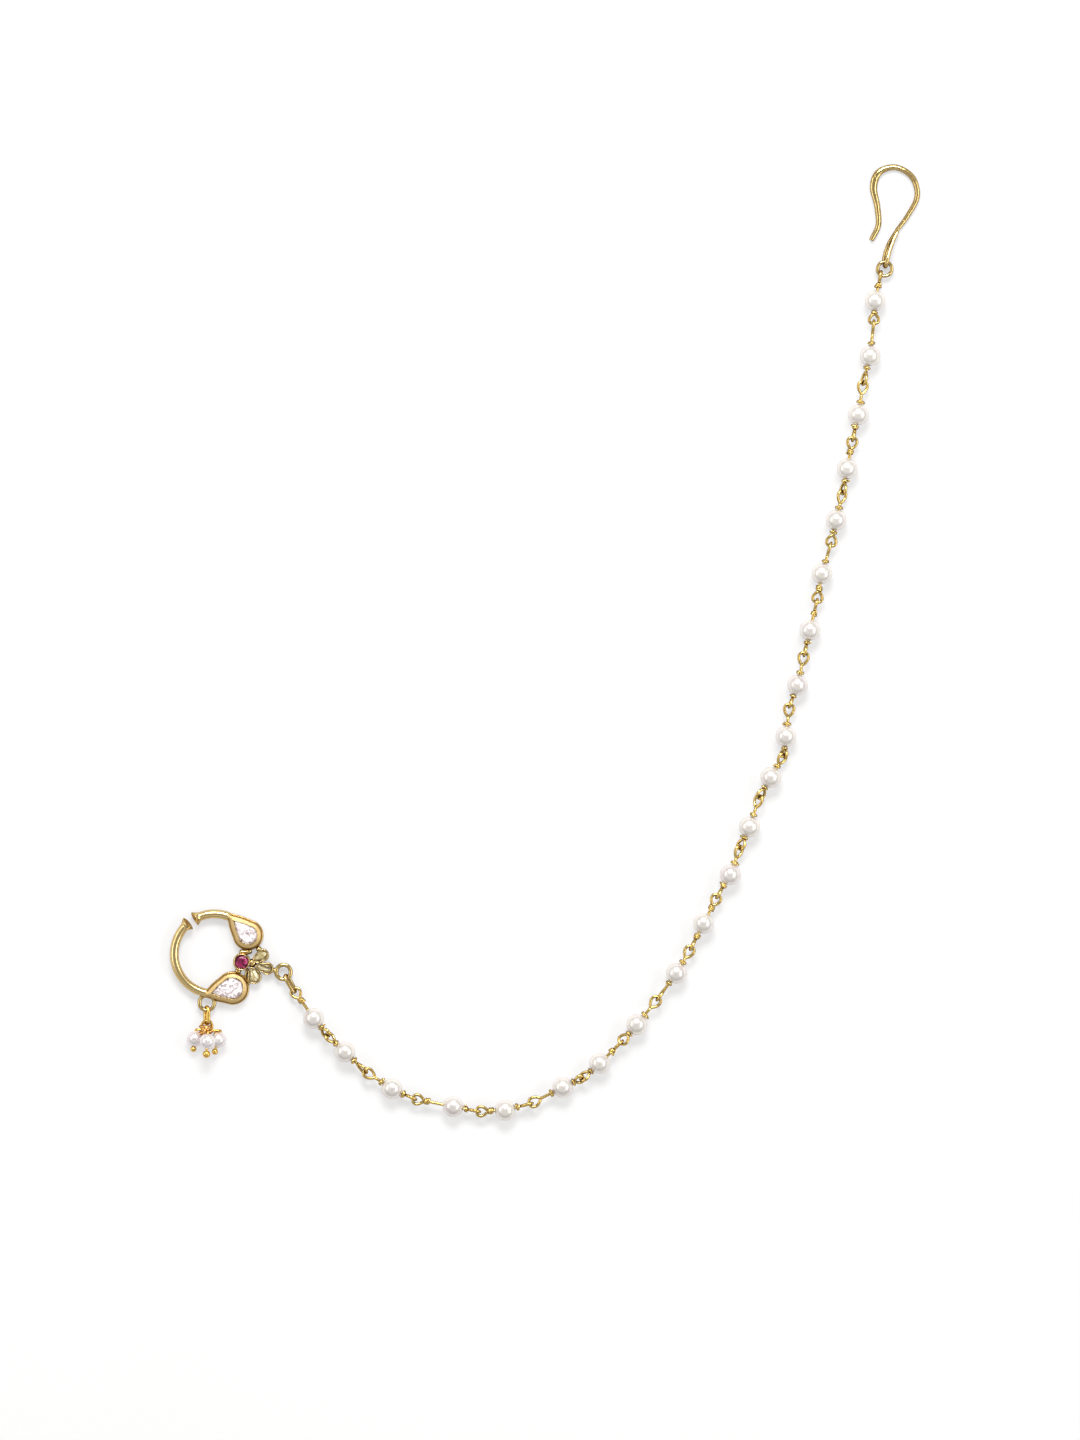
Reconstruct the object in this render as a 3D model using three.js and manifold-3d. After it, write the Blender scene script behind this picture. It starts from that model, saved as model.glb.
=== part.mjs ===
// A nath: an open nose ring with a jewelled side and a three-pearl drop, and a chain of wired pearls that ends in
// a hair hook. It lies on a table with the backs of its settings down. Millimetres, +Z up; places are measured
// from the middle of the nose ring, and the whole is moved at the end so that its box stands on the origin.
import * as THREE from 'three';
import { mergeVertices } from 'three/addons/utils/BufferGeometryUtils.js';
import Module from 'manifold-3d';

const wasm = await Module();
wasm.setup();

// ---- Driving dimensions ----

// Nose ring: a round tube on a circle, open between two flared ends. Angles in degrees from +X.
const noseRing = {
  radius: 7.6, tube: 0.82, flare: 1.38, flareLength: 1.25, height: 1.38,
  leftEnd: 130.7, rightEnd: 119.2, upperJoin: 71, lowerJoin: 257,
};

// Settings: each outline is a round end and a smaller tip end joined by straight sides.
const settings = {
  upperPear: { x: 6.4, y: 3.56, radius: 2.9, tipX: 3.1, tipY: 7.0, tipRadius: 0.72 },
  lowerPear: { x: 3.45, y: -6.51, radius: 3.15, tipX: -1.4, tipY: -7.65, tipRadius: 0.66 },
  upperPetal: { x: 9.15, y: -0.25, radius: 1.22, tipX: 7.47, tipY: -1.42, tipRadius: 0.3 },
  middlePetal: { x: 10.05, y: -2.81, radius: 1.2, tipX: 7.99, tipY: -2.3, tipRadius: 0.3 },
  lowerPetal: { x: 7.61, y: -4.38, radius: 1.33, tipX: 7.0, tipY: -2.7, tipRadius: 0.3 },
};
const rubySetting = { x: 5.2, y: -1.53, radius: 1.65 };

// Sections of the settings and stones: inset from the outline, height above the table.
const pearBezelRows = [
  { inset: 0.08, z: 0 }, { inset: 0, z: 0.1 }, { inset: 0, z: 0.75 }, { inset: 0.3, z: 0.85 },
  { inset: 0.36, z: 1.7 }, { inset: 0.62, z: 2.2 }, { inset: 1.05, z: 2.3 }, { inset: 1.14, z: 1.0 },
];
const pearStoneRows = [
  { inset: 2.1, z: 1.1 }, { inset: 1.24, z: 1.75 }, { inset: 1.24, z: 1.95 }, { inset: 1.8, z: 2.5 },
];
const petalBezelRows = [
  { inset: 0.06, z: 0 }, { inset: 0, z: 0.1 }, { inset: 0, z: 1.5 }, { inset: 0.12, z: 1.7 },
  { inset: 0.28, z: 1.6 }, { inset: 0.3, z: 0.7 },
];
const petalStoneRows = [
  { inset: 0.75, z: 0.8 }, { inset: 0.4, z: 1.3 }, { inset: 0.42, z: 1.5 }, { inset: 0.8, z: 1.9 },
];
const rubyBezelRows = [
  { inset: 0.06, z: 0 }, { inset: 0, z: 0.1 }, { inset: 0, z: 1.9 }, { inset: 0.14, z: 2.1 },
  { inset: 0.3, z: 2.0 }, { inset: 0.34, z: 0.8 },
];
const rubyStoneRows = [
  { inset: 1.35, z: 0.9 }, { inset: 0.44, z: 1.7 }, { inset: 0.44, z: 1.8 }, { inset: 0.8, z: 2.15 },
];

// Solder between the settings: round beads, and one bar under the upper pear.
const solderBeads = [
  { x: 7.2, y: -1.75, z: 0.9, radius: 0.85 }, { x: 8.45, y: 0.9, z: 0.9, radius: 0.55 },
  { x: 4.5, y: -3.25, z: 0.75, radius: 0.6 }, { x: 6.45, y: -5.15, z: 0.9, radius: 0.5 },
  { x: 11.4, y: -3.15, z: 1.15, radius: 0.5 },
];
const solderBar = { x: 5.9, y: 0.35, z: 0.7, width: 2.0, depth: 1.3, height: 1.1 };
const granule = { x: 7.1, y: -1.5, radius: 0.42, height: 1.95 };

// Jump rings and closed links: wire centre line and wire radius. Ovals stand nearly on edge, leaning by lean,
// and run along the table at angle.
const carrierHeight = 1.15;
const chainRing = { x: 13.13, y: -3.46, radius: 1.41, wire: 0.27 };
const dropCarrier = { x: -1.41, y: -9.3, radius: 1.46, wire: 0.26 };
const dropRing = { x: -1.41, y: -13.7, radius: 0.98, wire: 0.21 };
const hookRing = { x: 127.3, y: 130.05, radius: 1.36, wire: 0.31 };
const hookRingHeight = 1.22;
const chainOval = { x: 14.4, y: -5.66, halfLength: 1.77, halfHeight: 0.82, wire: 0.28, angle: -60, lean: 22 };
const dropOval = { x: -1.41, y: -11.7, halfLength: 1.58, halfHeight: 0.7, wire: 0.27, angle: -90, lean: -28 };

// Pearl links: wire, eye and neck. An eye reaches eyeReach past the joint, to hook round the next eye's wire.
const pearl = { radius: 2.0, hole: 0.5 };
const linkWire = {
  radius: 0.22, eyeLength: 2.15, eyeHalfWidth: 0.88, eyeReach: 0.29, neckRadius: 0.5, neckLength: 1.3,
};

// One row for each link, from the nose ring to the hook. firstArm, aside: the pearl's middle, along and to the left
// of the straight way from the joint behind. x, y, z: the joint ahead. ownTurn, nextTurn: how far this link's eye
// and the next one's lean out of the flat there.
const firstJoint = { x: 15.15, y: -6.9, z: 1.15, nextTurn: 0 };
const links = [
  { firstArm: 6.5, aside: -0.2, x: 21.5, y: -15.4, z: 2.2, ownTurn: 50, nextTurn: 45 },
  { firstArm: 4.6, aside: 0, x: 28.7, y: -22.3, z: 2.0, ownTurn: 65, nextTurn: 15 },
  { firstArm: 6.0, aside: -0.4, x: 38.0, y: -27.5, z: 2.0, ownTurn: 85, nextTurn: 0 },
  { firstArm: 7.5, aside: 0, x: 50.1, y: -29.9, z: 2.0, ownTurn: 85, nextTurn: 0 },
  { firstArm: 5.1, aside: -0.5, x: 60.1, y: -28.4, z: 2.0, ownTurn: 85, nextTurn: 0 },
  { firstArm: 6.8, aside: 0.1, x: 69.8, y: -23.6, z: 2.0, ownTurn: 45, nextTurn: 45 },
  { firstArm: 4.4, aside: -0.2, x: 77.3, y: -16.7, z: 2.0, ownTurn: 85, nextTurn: 20 },
  { firstArm: 4.4, aside: -0.1, x: 84.2, y: -8.5, z: 2.0, ownTurn: 0, nextTurn: 85 },
  { firstArm: 6.0, aside: -0.3, x: 90.5, y: 1.1, z: 2.0, ownTurn: 0, nextTurn: 85 },
  { firstArm: 5.3, aside: 0, x: 95.5, y: 10.9, z: 2.0, ownTurn: 0, nextTurn: 85 },
  { firstArm: 4.8, aside: -0.5, x: 99.8, y: 20.2, z: 2.0, ownTurn: 45, nextTurn: 45 },
  { firstArm: 4.3, aside: -0.3, x: 103.5, y: 29.8, z: 2.0, ownTurn: -40, nextTurn: -45 },
  { firstArm: 4.3, aside: 0, x: 108.1, y: 37.7, z: 2.0, ownTurn: 40, nextTurn: 50 },
  { firstArm: 3.6, aside: 0, x: 109.2, y: 47.1, z: 2.0, ownTurn: 0, nextTurn: 85 },
  { firstArm: 4.2, aside: -0.4, x: 112.0, y: 56.9, z: 2.0, ownTurn: 0, nextTurn: 85 },
  { firstArm: 4.7, aside: 0, x: 114.4, y: 67.0, z: 2.0, ownTurn: 90, nextTurn: 0 },
  { firstArm: 5.3, aside: 0.3, x: 117.0, y: 77.7, z: 2.0, ownTurn: 90, nextTurn: 0 },
  { firstArm: 4.8, aside: 0, x: 119.3, y: 87.6, z: 2.0, ownTurn: 35, nextTurn: 60 },
  { firstArm: 4.6, aside: 0, x: 121.2, y: 97.7, z: 2.0, ownTurn: 0, nextTurn: 85 },
  { firstArm: 4.8, aside: -0.2, x: 123.2, y: 108.4, z: 2.0, ownTurn: 15, nextTurn: 65 },
  { firstArm: 5.3, aside: -0.4, x: 125.2, y: 119.9, z: 2.1, ownTurn: 90, nextTurn: 0 },
  { firstArm: 4.1, aside: 0.35, x: 126.6, y: 129.27, z: 1.22, ownTurn: 85 },
];

// Hair hook: the wire's centre line, from the tip round to where it is doubled, and the folded eye below.
const hookWire = 0.5;
const hookRoute = [
  { x: 124.8, y: 135.6 }, { x: 126.1, y: 138.4 }, { x: 125.9, y: 142.0 }, { x: 125.2, y: 145.8 },
  { x: 126.2, y: 148.4 }, { x: 129.3, y: 149.4 }, { x: 132.5, y: 147.6 }, { x: 133.5, y: 144.0 },
  { x: 131.6, y: 140.1 }, { x: 129.6, y: 137.4 },
];
const foldWire = 0.38;
const foldRoute = [
  { x: 129.9, y: 137.8, z: 0.55 }, { x: 128.3, y: 135.2, z: 0.5 }, { x: 127.55, y: 133.3, z: 0.48 },
  { x: 127.25, y: 131.8, z: 0.46 }, { x: 127.3, y: 130.96, z: 0.58 }, { x: 127.42, y: 130.56, z: 1.24 },
  { x: 127.6, y: 131.0, z: 1.86 }, { x: 127.75, y: 131.8, z: 2.06 }, { x: 128.2, y: 133.4, z: 1.8 },
  { x: 128.95, y: 135.5, z: 1.3 }, { x: 129.75, y: 137.1, z: 0.8 },
];

// Drop: three head pins. x, y, z: the pearl's middle; ballX, ballY, ballZ, ball: the ball end and its radius.
// A pin runs on past its pearl for about pinBend and then turns over to the knot.
const dropPearl = { radius: 1.52, hole: 0.4 };
const pinWire = 0.19;
const pinLoop = { radius: 0.55, spread: 0.42, turn: 24 };
const pinKnot = { x: -1.41, y: -15.3, z: 1.55, radius: 0.62, length: 0.6 };
const pinBend = 0.8;
const pins = [
  { name: 'left', x: -3.7, y: -16.1, z: 1.52, ballX: -3.95, ballY: -18.05, ballZ: 1.4, ball: 0.5 },
  { name: 'middle', x: -1.22, y: -16.56, z: 3.9, ballX: -1.4, ballY: -19.0, ballZ: 3.8, ball: 0.62 },
  { name: 'right', x: 0.78, y: -16.3, z: 1.52, ballX: 0.1, ballY: -18.6, ballZ: 1.4, ball: 0.52 },
];

// How finely curves are cut.
const facets = {
  tube: 10, ringSteps: 14, wire: 5, eyeSteps: 8, core: 5, hook: 7, pearl: 10, pearlRows: 5, flare: 12,
  tipArc: 4, wideArc: 10, round: 14,
};

// ---- Looks ----

const goldLook = { color: 0xd8b15c, roughness: 0.22, metalness: 1 };
const warmGoldLook = { color: 0xe0a83c, roughness: 0.25, metalness: 1 };
const pearlLook = { color: 0xf4eeee, roughness: 0.25, metalness: 0 };
const clearLook = { color: 0xe9e6ec, roughness: 0.05, metalness: 0 };
const rubyLook = { color: 0xa3143f, roughness: 0.08, metalness: 0 };
const oliveLook = { color: 0xb6a873, roughness: 0.1, metalness: 0 };

// ---- Helpers ----

const up = new THREE.Vector3(0, 0, 1);
const point = ({ x, y, z }) => new THREE.Vector3(x, y, z);

function toSolid(geometry) {
  const bare = geometry.clone();
  bare.deleteAttribute('normal');
  bare.deleteAttribute('uv');
  const merged = mergeVertices(bare, 1e-4);
  const vertProperties = Float32Array.from(merged.attributes.position.array);
  const triVerts = Uint32Array.from(merged.index.array);
  return new wasm.Manifold(new wasm.Mesh({ numProp: 3, vertProperties, triVerts }));
}

function toGeometry(solid) {
  const mesh = solid.getMesh();
  const geometry = new THREE.BufferGeometry();
  geometry.setAttribute('position', new THREE.BufferAttribute(Float32Array.from(mesh.vertProperties), 3));
  geometry.setIndex(new THREE.BufferAttribute(Uint32Array.from(mesh.triVerts), 1));
  geometry.computeVertexNormals();
  return geometry;
}

function join(geometries) {
  return toGeometry(geometries.map(toSolid).reduce((whole, solid) => whole.add(solid)));
}

const assembly = new THREE.Group();

function addPiece(name, geometry, look) {
  const mesh = new THREE.Mesh(geometry, new THREE.MeshStandardMaterial(look));
  mesh.name = name;
  assembly.add(mesh);
}

// Turns a lathe shape so that its axis runs along direction and one of its corners points straight down.
function aimLathe(geometry, direction, centre) {
  const down = up.clone().negate();
  const low = down.addScaledVector(direction, -down.dot(direction)).normalize();
  const side = new THREE.Vector3().crossVectors(direction, low);
  return geometry.applyMatrix4(new THREE.Matrix4().makeBasis(side, direction, low).setPosition(centre));
}

function lathe(rows, segments) {
  return new THREE.LatheGeometry(rows.map(([radius, along]) => new THREE.Vector2(radius, along)), segments);
}

// An open wire along a curve: a round section swept as an extrusion, so that both ends are closed.
function sweptWire(curve, radius, sides, steps) {
  const section = new THREE.Shape();
  for (let i = 0; i < sides; i += 1) {
    const angle = (i / sides) * 2 * Math.PI;
    const place = [radius * Math.cos(angle), radius * Math.sin(angle)];
    if (i === 0) section.moveTo(...place);
    else section.lineTo(...place);
  }
  section.closePath();
  return new THREE.ExtrudeGeometry(section, { steps, extrudePath: curve, curveSegments: 1 });
}

function closedRing({ x, y, radius, wire }, height) {
  return new THREE.TorusGeometry(radius, wire, facets.wire, facets.ringSteps).translate(x, y, height);
}

// A closed oval in the upright plane through X: an ellipse with fuller shoulders, like a bent link.
class UprightOval extends THREE.Curve {
  constructor({ halfLength, halfHeight }) {
    super();
    Object.assign(this, { halfLength, halfHeight });
  }

  getPoint(t, target = new THREE.Vector3()) {
    const squareness = 0.72;
    const bulge = (value) => Math.sign(value) * Math.abs(value) ** squareness;
    const turn = 2 * Math.PI * t;
    return target.set(this.halfLength * bulge(Math.cos(turn)), 0, this.halfHeight * bulge(Math.sin(turn)));
  }
}

function ovalLink(oval) {
  return new THREE.TubeGeometry(new UprightOval(oval), facets.ringSteps, oval.wire, facets.wire, true)
    .rotateX(THREE.MathUtils.degToRad(oval.lean))
    .rotateZ(THREE.MathUtils.degToRad(oval.angle))
    .translate(oval.x, oval.y, carrierHeight);
}

// A drop-shaped eye: it leaves the neck at start, widens, and turns back at start + length.
class Eye extends THREE.Curve {
  constructor({ start, length, halfWidth, direction, side }) {
    super();
    Object.assign(this, { start, length, halfWidth, direction, side });
  }

  getPoint(t, target = new THREE.Vector3()) {
    const turn = 2 * Math.PI * t;
    const across = 1.24 * this.halfWidth * Math.sin(turn) * Math.abs(Math.sin(turn / 2)) ** 0.7;
    return target.copy(this.start)
      .addScaledVector(this.direction, this.length * (1 - Math.cos(turn)) / 2)
      .addScaledVector(this.side, across);
  }
}

// ---- Settings and stones ----

// The outline of a setting, drawn in by inset: an arc round the tip, then an arc round the round end.
function dropOutline(setting, inset) {
  const finestTip = 0.08;
  const wide = new THREE.Vector2(setting.x, setting.y);
  const tip = new THREE.Vector2(setting.tipX, setting.tipY);
  const spread = setting.radius - setting.tipRadius;
  const slide = Math.max(0, (finestTip + inset - setting.tipRadius) / spread);
  const tipCentre = tip.clone().lerp(wide, slide);
  const tipRadius = slide > 0 ? finestTip : setting.tipRadius - inset;
  const heading = tip.clone().sub(wide);
  const tangent = Math.acos(spread / heading.length());
  const arc = (centre, radius, from, to, count) => Array.from({ length: count }, (_, i) => {
    const angle = heading.angle() + from + (to - from) * (i / (count - 1));
    return new THREE.Vector2(centre.x + radius * Math.cos(angle), centre.y + radius * Math.sin(angle));
  });
  return [
    ...arc(tipCentre, tipRadius, -tangent, tangent, facets.tipArc),
    ...arc(wide, setting.radius - inset, tangent, 2 * Math.PI - tangent, facets.wideArc),
  ];
}

function roundOutline(setting, inset) {
  return Array.from({ length: facets.round }, (_, i) => {
    const angle = (i / facets.round) * 2 * Math.PI;
    const reach = setting.radius - inset;
    return new THREE.Vector2(setting.x + reach * Math.cos(angle), setting.y + reach * Math.sin(angle));
  });
}

// A solid through a stack of outlines, closed by a flat face under the first row and inside the last.
function stack(outline, setting, rows) {
  const loops = rows.map(({ inset, z }) => outline(setting, inset).map(({ x, y }) => [x, y, z]));
  const count = loops[0].length;
  const index = [];
  for (let row = 0; row + 1 < loops.length; row += 1) {
    for (let i = 0; i < count; i += 1) {
      const next = (i + 1) % count;
      const low = row * count;
      const high = low + count;
      index.push(low + i, low + next, high + next, low + i, high + next, high + i);
    }
  }
  const top = (loops.length - 1) * count;
  for (let i = 1; i + 1 < count; i += 1) {
    index.push(0, i + 1, i);
    index.push(top, top + i, top + i + 1);
  }
  const geometry = new THREE.BufferGeometry();
  geometry.setAttribute('position', new THREE.BufferAttribute(new Float32Array(loops.flat(2)), 3));
  geometry.setIndex(index);
  geometry.computeVertexNormals();
  return geometry;
}

// ---- Nose ring frame ----

class RingArc extends THREE.Curve {
  constructor(from, to) {
    super();
    Object.assign(this, { from, to });
  }

  getPoint(t, target = new THREE.Vector3()) {
    const angle = THREE.MathUtils.degToRad(this.from + (this.to - this.from) * t);
    const { radius, height } = noseRing;
    return target.set(radius * Math.cos(angle), radius * Math.sin(angle), height);
  }
}

// A trumpet end with a shallow dimple; sense is +1 where it opens towards larger angles.
function flaredEnd(angle, sense) {
  const { radius, tube, flare, flareLength, height } = noseRing;
  const turn = THREE.MathUtils.degToRad(angle);
  const outward = new THREE.Vector3(-Math.sin(turn), Math.cos(turn), 0).multiplyScalar(sense);
  const mouth = new THREE.Vector3(radius * Math.cos(turn), radius * Math.sin(turn), height);
  const profile = [
    [0, -flareLength], [tube, -flareLength], [tube * 1.12, -0.6 * flareLength], [flare * 0.94, -0.25],
    [flare, -0.12], [flare * 0.94, 0], [flare * 0.72, 0], [flare * 0.5, -0.3], [0, -0.4],
  ];
  return aimLathe(lathe(profile, facets.flare), outward, mouth);
}

function noseRingFrame() {
  const { leftEnd, rightEnd, upperJoin, lowerJoin, tube } = noseRing;
  const tubeEndsInFlare = 4;
  const pieces = [
    sweptWire(new RingArc(leftEnd + tubeEndsInFlare, lowerJoin), tube, facets.tube, 16),
    sweptWire(new RingArc(rightEnd - tubeEndsInFlare, upperJoin), tube, facets.tube, 6),
    flaredEnd(leftEnd, -1),
    flaredEnd(rightEnd, 1),
    stack(dropOutline, settings.upperPear, pearBezelRows),
    stack(dropOutline, settings.lowerPear, pearBezelRows),
    stack(roundOutline, rubySetting, rubyBezelRows),
    stack(dropOutline, settings.upperPetal, petalBezelRows),
    stack(dropOutline, settings.middlePetal, petalBezelRows),
    stack(dropOutline, settings.lowerPetal, petalBezelRows),
    new THREE.BoxGeometry(solderBar.width, solderBar.depth, solderBar.height)
      .translate(solderBar.x, solderBar.y, solderBar.z),
    new THREE.SphereGeometry(granule.radius, 8, 5).rotateX(Math.PI / 2)
      .translate(granule.x, granule.y, granule.height),
    closedRing(chainRing, carrierHeight),
    closedRing(dropCarrier, carrierHeight),
  ];
  for (const { x, y, z, radius } of solderBeads) {
    pieces.push(new THREE.SphereGeometry(radius, 7, 5).translate(x, y, z));
  }
  return join(pieces);
}

// ---- Pearls and their wires ----

// A drilled ball: the outer arc from hole edge to hole edge, closed by the hole's wall.
function drilledPearl({ radius, hole }, direction, centre) {
  const edge = Math.asin(hole / radius);
  const rows = [];
  for (let i = 0; i < facets.pearlRows; i += 1) {
    const angle = -Math.PI / 2 + edge + (i / (facets.pearlRows - 1)) * (Math.PI - 2 * edge);
    rows.push([radius * Math.cos(angle), radius * Math.sin(angle)]);
  }
  rows.push(rows[0]);
  return aimLathe(lathe(rows, facets.pearl), direction, centre);
}

// Half of a link: bare wire from inside the pearl, a wound neck, and an eye that reaches past the joint.
function linkArm(centre, joint, turn) {
  const { radius, eyeReach, eyeHalfWidth, neckRadius, neckLength } = linkWire;
  const shortestNeck = 0.5;
  const insideNeck = 0.15;
  const direction = joint.clone().sub(centre);
  const reach = direction.length() + eyeReach;
  direction.normalize();
  const eyeLength = Math.min(linkWire.eyeLength, reach - pearl.radius - shortestNeck);
  const neckEnd = reach - eyeLength;
  const neckStart = Math.max(pearl.radius + 0.03, neckEnd - neckLength);
  const core = lathe([
    [0, -2 * radius], [radius, -2 * radius], [radius, neckStart], [neckRadius, neckStart],
    [neckRadius, neckEnd], [0, neckEnd + insideNeck],
  ], facets.core);
  const flatSide = new THREE.Vector3().crossVectors(up, direction).normalize();
  const eye = new Eye({
    start: centre.clone().addScaledVector(direction, neckEnd),
    length: eyeLength,
    halfWidth: eyeHalfWidth,
    direction,
    side: flatSide.applyAxisAngle(direction, THREE.MathUtils.degToRad(turn)),
  });
  return [
    aimLathe(core, direction, centre),
    new THREE.TubeGeometry(eye, facets.eyeSteps, radius, facets.wire, true),
  ];
}

function addPearlChain() {
  let behind = { ...firstJoint };
  links.forEach((link, i) => {
    const number = String(i + 1).padStart(2, '0');
    const from = point(behind);
    const to = point(link);
    const run = to.clone().sub(from).normalize();
    const flat = run.clone().setZ(0).normalize();
    const left = new THREE.Vector3(-flat.y, flat.x, 0);
    const centre = from.clone().addScaledVector(flat, link.firstArm).addScaledVector(left, link.aside);
    centre.z = pearl.radius;
    addPiece(`pearl_${number}`, drilledPearl(pearl, run, centre), pearlLook);
    const arms = [...linkArm(centre, from, behind.nextTurn), ...linkArm(centre, to, link.ownTurn)];
    addPiece(`link_wire_${number}`, join(arms), goldLook);
    behind = link;
  });
}

// ---- Hair hook ----

function hairHook() {
  const route = new THREE.CatmullRomCurve3(hookRoute.map(({ x, y }) => new THREE.Vector3(x, y, hookWire)));
  const fold = new THREE.CatmullRomCurve3(foldRoute.map(point));
  return join([sweptWire(route, hookWire, facets.hook, 28), sweptWire(fold, foldWire, facets.hook, 18)]);
}

// ---- Drop ----

const pinBall = ({ ballX, ballY, ballZ }) => new THREE.Vector3(ballX, ballY, ballZ);
const pinDirection = (pin) => point(pin).sub(pinBall(pin)).normalize();

// One head pin: straight from its ball through the pearl, then bent over to the knot.
function headPin(pin) {
  const direction = pinDirection(pin);
  const start = pinBall(pin);
  const leave = point(pin).addScaledVector(direction, dropPearl.radius + 0.1);
  const bend = leave.clone().addScaledVector(direction, pinBend);
  const path = new THREE.CurvePath();
  path.add(new THREE.LineCurve3(start, leave));
  path.add(new THREE.QuadraticBezierCurve3(leave, bend, point(pinKnot)));
  const ball = new THREE.SphereGeometry(pin.ball, 8, 6).translate(start.x, start.y, start.z);
  return [sweptWire(path, pinWire, facets.wire, 10), ball];
}

// The pins' loops round the drop ring, side by side, each turned a little about the upright.
function pinLoops() {
  const { radius, spread, turn } = pinLoop;
  return [-1, 0, 1].map((place) => {
    const across = spread * place;
    const below = Math.sqrt(dropRing.radius ** 2 - across ** 2);
    return new THREE.TorusGeometry(radius, pinWire, facets.wire, 10)
      .rotateY(Math.PI / 2)
      .rotateZ(THREE.MathUtils.degToRad(turn * place))
      .translate(dropRing.x + across, dropRing.y - below, carrierHeight);
  });
}

function addDrop() {
  const { x, y, z, radius, length } = pinKnot;
  const knot = new THREE.CylinderGeometry(radius, radius, length, 10).translate(x, y, z);
  addPiece('drop_oval_link', ovalLink(dropOval), warmGoldLook);
  addPiece('drop_ring', closedRing(dropRing, carrierHeight), warmGoldLook);
  addPiece('drop_pins', join([knot, ...pinLoops(), ...pins.flatMap(headPin)]), warmGoldLook);
  for (const pin of pins) {
    addPiece(`drop_pearl_${pin.name}`, drilledPearl(dropPearl, pinDirection(pin), point(pin)), pearlLook);
  }
}

// ---- Assembly ----

addPiece('nath_frame', noseRingFrame(), goldLook);
addPiece('pear_stone_upper', stack(dropOutline, settings.upperPear, pearStoneRows), clearLook);
addPiece('pear_stone_lower', stack(dropOutline, settings.lowerPear, pearStoneRows), clearLook);
addPiece('ruby', stack(roundOutline, rubySetting, rubyStoneRows), rubyLook);
addPiece('petal_stone_upper', stack(dropOutline, settings.upperPetal, petalStoneRows), oliveLook);
addPiece('petal_stone_middle', stack(dropOutline, settings.middlePetal, petalStoneRows), oliveLook);
addPiece('petal_stone_lower', stack(dropOutline, settings.lowerPetal, petalStoneRows), oliveLook);
addPiece('chain_oval_link', ovalLink(chainOval), goldLook);
addPearlChain();
addPiece('hook_ring', closedRing(hookRing, hookRingHeight), goldLook);
addPiece('hair_hook', hairHook(), goldLook);
addDrop();

const box = new THREE.Box3().setFromObject(assembly);
const middle = box.getCenter(new THREE.Vector3());
assembly.position.set(-middle.x, -middle.y, -box.min.z);

const nath = new THREE.Group();
nath.add(assembly);

export default nath;
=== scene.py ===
# The looks of a nath: an open nose ring with a jewelled side and a pearl drop, and a chain of wired pearls
# that ends in a hair hook. Shapes are worked out in millimetres from the middle of the nose ring, and
# makePiece puts them in metres.
import math

import bpy
import numpy as np
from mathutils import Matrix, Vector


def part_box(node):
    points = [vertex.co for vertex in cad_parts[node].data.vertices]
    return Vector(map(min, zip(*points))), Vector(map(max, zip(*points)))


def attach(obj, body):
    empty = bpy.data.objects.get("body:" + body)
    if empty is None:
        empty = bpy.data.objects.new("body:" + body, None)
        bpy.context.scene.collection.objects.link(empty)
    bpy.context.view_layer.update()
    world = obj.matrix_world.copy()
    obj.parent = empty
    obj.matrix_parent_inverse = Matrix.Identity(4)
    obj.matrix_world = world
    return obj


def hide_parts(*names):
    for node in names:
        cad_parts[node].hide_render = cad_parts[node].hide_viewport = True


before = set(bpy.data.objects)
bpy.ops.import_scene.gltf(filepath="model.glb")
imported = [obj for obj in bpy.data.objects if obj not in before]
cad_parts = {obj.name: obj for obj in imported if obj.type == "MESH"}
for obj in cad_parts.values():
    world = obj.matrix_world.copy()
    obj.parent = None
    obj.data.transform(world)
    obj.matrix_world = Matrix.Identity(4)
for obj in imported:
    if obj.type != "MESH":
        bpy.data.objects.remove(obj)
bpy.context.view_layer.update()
print("frame:", len(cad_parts), "nodes")

mm = 0.001
up = np.array([0.0, 0.0, 1.0])
sideAxis = np.array([1.0, 0.0, 0.0])
awayAxis = np.array([0.0, 1.0, 0.0])
rubySetting = {"wide": (5.2, -1.53), "radius": 1.65}
rubyLow, rubyHigh = (np.array(corner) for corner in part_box("ruby"))
ringMiddle = (rubyLow + rubyHigh) / 2 - np.array([*rubySetting["wide"], 0.0]) * mm
ringMiddle[2] = 0.0


def unit(vectors):
    return vectors / np.linalg.norm(vectors, axis=-1, keepdims=True)


def gridFaces(rows, columns, closedRows):
    # A face between each pair of neighbouring rows and columns; the columns close on themselves.
    row = np.arange(rows if closedRows else rows - 1)[:, None]
    column = np.arange(columns)[None, :]
    nextRow, nextColumn = (row + 1) % rows, (column + 1) % columns
    corners = [row * columns + column, row * columns + nextColumn,
               nextRow * columns + nextColumn, nextRow * columns + column]
    return np.stack(np.broadcast_arrays(*corners), axis=-1).reshape(-1, 4)


def patch(points, closedRows=False, satin=0.0):
    # A closed skin over a grid of points: quads between the rows, and a fan from the middle of each end row.
    # A skin whose volume comes out negative is turned, so that faces point outwards.
    rows, columns, _ = points.shape
    flat = points.reshape(-1, 3)
    quads = gridFaces(rows, columns, closedRows)
    faces = np.vstack([quads[:, [0, 1, 2]], quads[:, [0, 2, 3]]])
    glow = np.broadcast_to(np.asarray(satin, float), (rows, columns)).reshape(-1)
    if not closedRows:
        around = np.arange(columns)
        following = (around + 1) % columns
        last = (rows - 1) * columns
        bottom, top = len(flat), len(flat) + 1
        flat = np.vstack([flat, points[0].mean(axis=0), points[-1].mean(axis=0)])
        glow = np.concatenate([glow, glow[[0, -1]]])
        faces = np.vstack([
            faces,
            np.stack([following, around, np.full(columns, bottom)], axis=1),
            np.stack([last + around, last + following, np.full(columns, top)], axis=1),
        ])
    return turnedOut(flat, faces, glow)


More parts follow.
